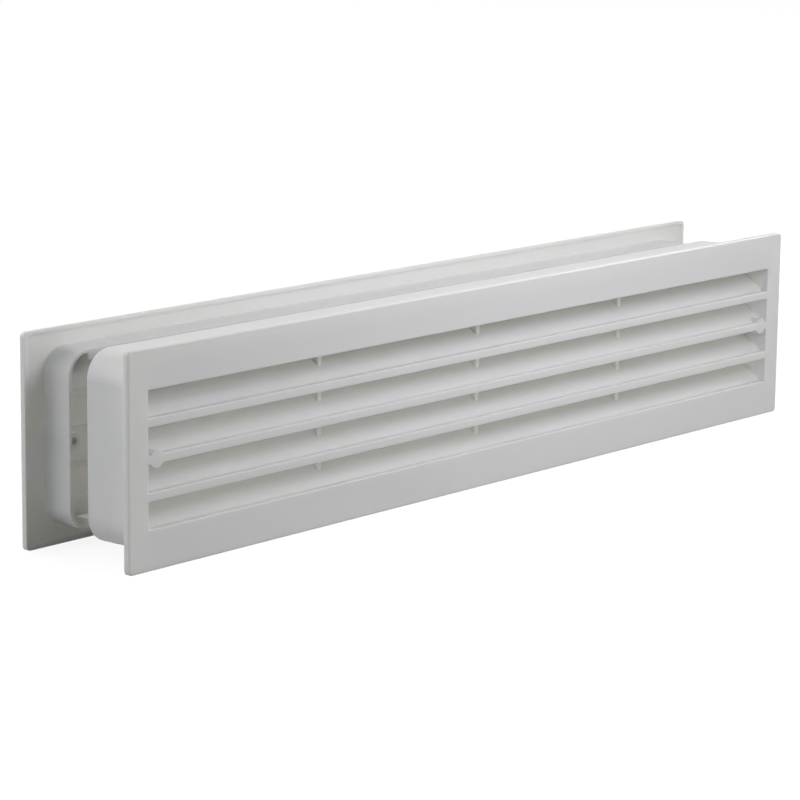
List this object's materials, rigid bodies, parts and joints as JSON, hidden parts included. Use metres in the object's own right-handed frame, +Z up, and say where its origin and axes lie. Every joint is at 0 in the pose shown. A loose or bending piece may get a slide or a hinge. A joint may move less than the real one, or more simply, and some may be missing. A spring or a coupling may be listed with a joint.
{
  "type": "ventilation grille",
  "caption": "Long louvred door ventilation grille in two telescoping halves, each a flanged frame with sloping blades and a rounded collar that passes through the door cut-out.",
  "frame": {"origin": "centre of the bounding box at the lower edges of both flanges, on which the grille stands", "axes": "+X along the length, +Y through the door from the front half to the rear half, +Z up"},
  "size_m": [0.455, 0.063, 0.091],
  "materials": {
    "front_grille": "satin white injection moulding",
    "rear_grille": "satin white injection moulding"
  },
  "bodies": {
    "front": {"front_grille": "front_grille"},
    "rear": {"rear_grille": "rear_grille"}
  },
  "joints": [
    {"name": "telescope_slide", "type": "slide", "parent": "front", "child": "rear", "axis": [0, 1, 0], "range_m": [-0.0268, 0]}
  ]
}
